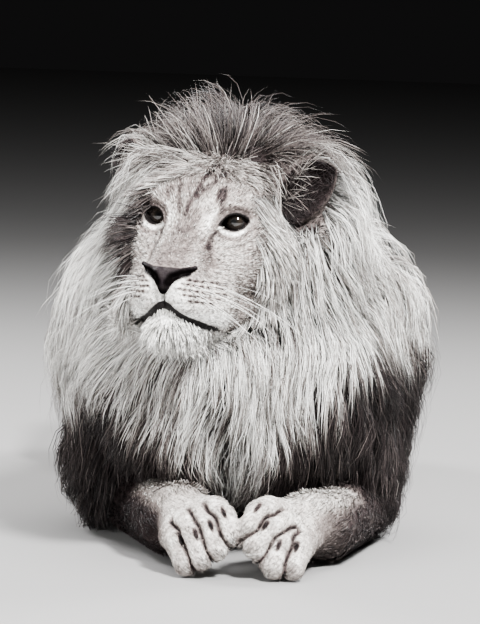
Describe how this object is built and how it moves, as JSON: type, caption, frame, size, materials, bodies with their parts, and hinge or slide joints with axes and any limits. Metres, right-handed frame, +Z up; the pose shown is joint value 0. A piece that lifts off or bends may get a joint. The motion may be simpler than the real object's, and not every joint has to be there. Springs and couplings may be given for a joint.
{
  "type": "lion",
  "caption": "Life-size male lion lying on its chest with a full mane, its head turned to one side and its forepaws meeting in front.",
  "frame": {"origin": "on the ground under the middle of the chest, on the flat the chest rests on", "axes": "+Z up, the lion faces -Y, +X towards its own left side"},
  "size_m": [0.6429, 1.9121, 0.7486],
  "materials": {
    "coat": "short soft fur, paler below",
    "mane": "long loose hair, pale above and dark brown below",
    "nose": "fine pebbled, slightly moist",
    "eye": "wet and glossy"
  },
  "bodies": {
    "root": {"head": "coat", "jaw": "coat", "nose": "nose", "eye_left": "eye", "eye_right": "eye", "ear_left": "coat", "ear_right": "coat", "neck": "coat", "mane_crown": "mane", "mane_nape": "mane", "mane_breast": "mane", "mane_left": "mane", "mane_right": "mane", "chest": "coat", "abdomen": "coat", "rump": "coat", "upper_arm_left": "coat", "upper_arm_right": "coat", "forearm_left": "coat", "forearm_right": "coat", "forepaw_left": "coat", "forepaw_right": "coat", "thigh_left": "coat", "thigh_right": "coat", "shank_left": "coat", "shank_right": "coat", "hindfoot_left": "coat", "hindfoot_right": "coat", "tail_root": "coat", "tail_middle": "coat", "tail_end": "coat", "tail_tuft": "mane"}
  },
  "joints": []
}
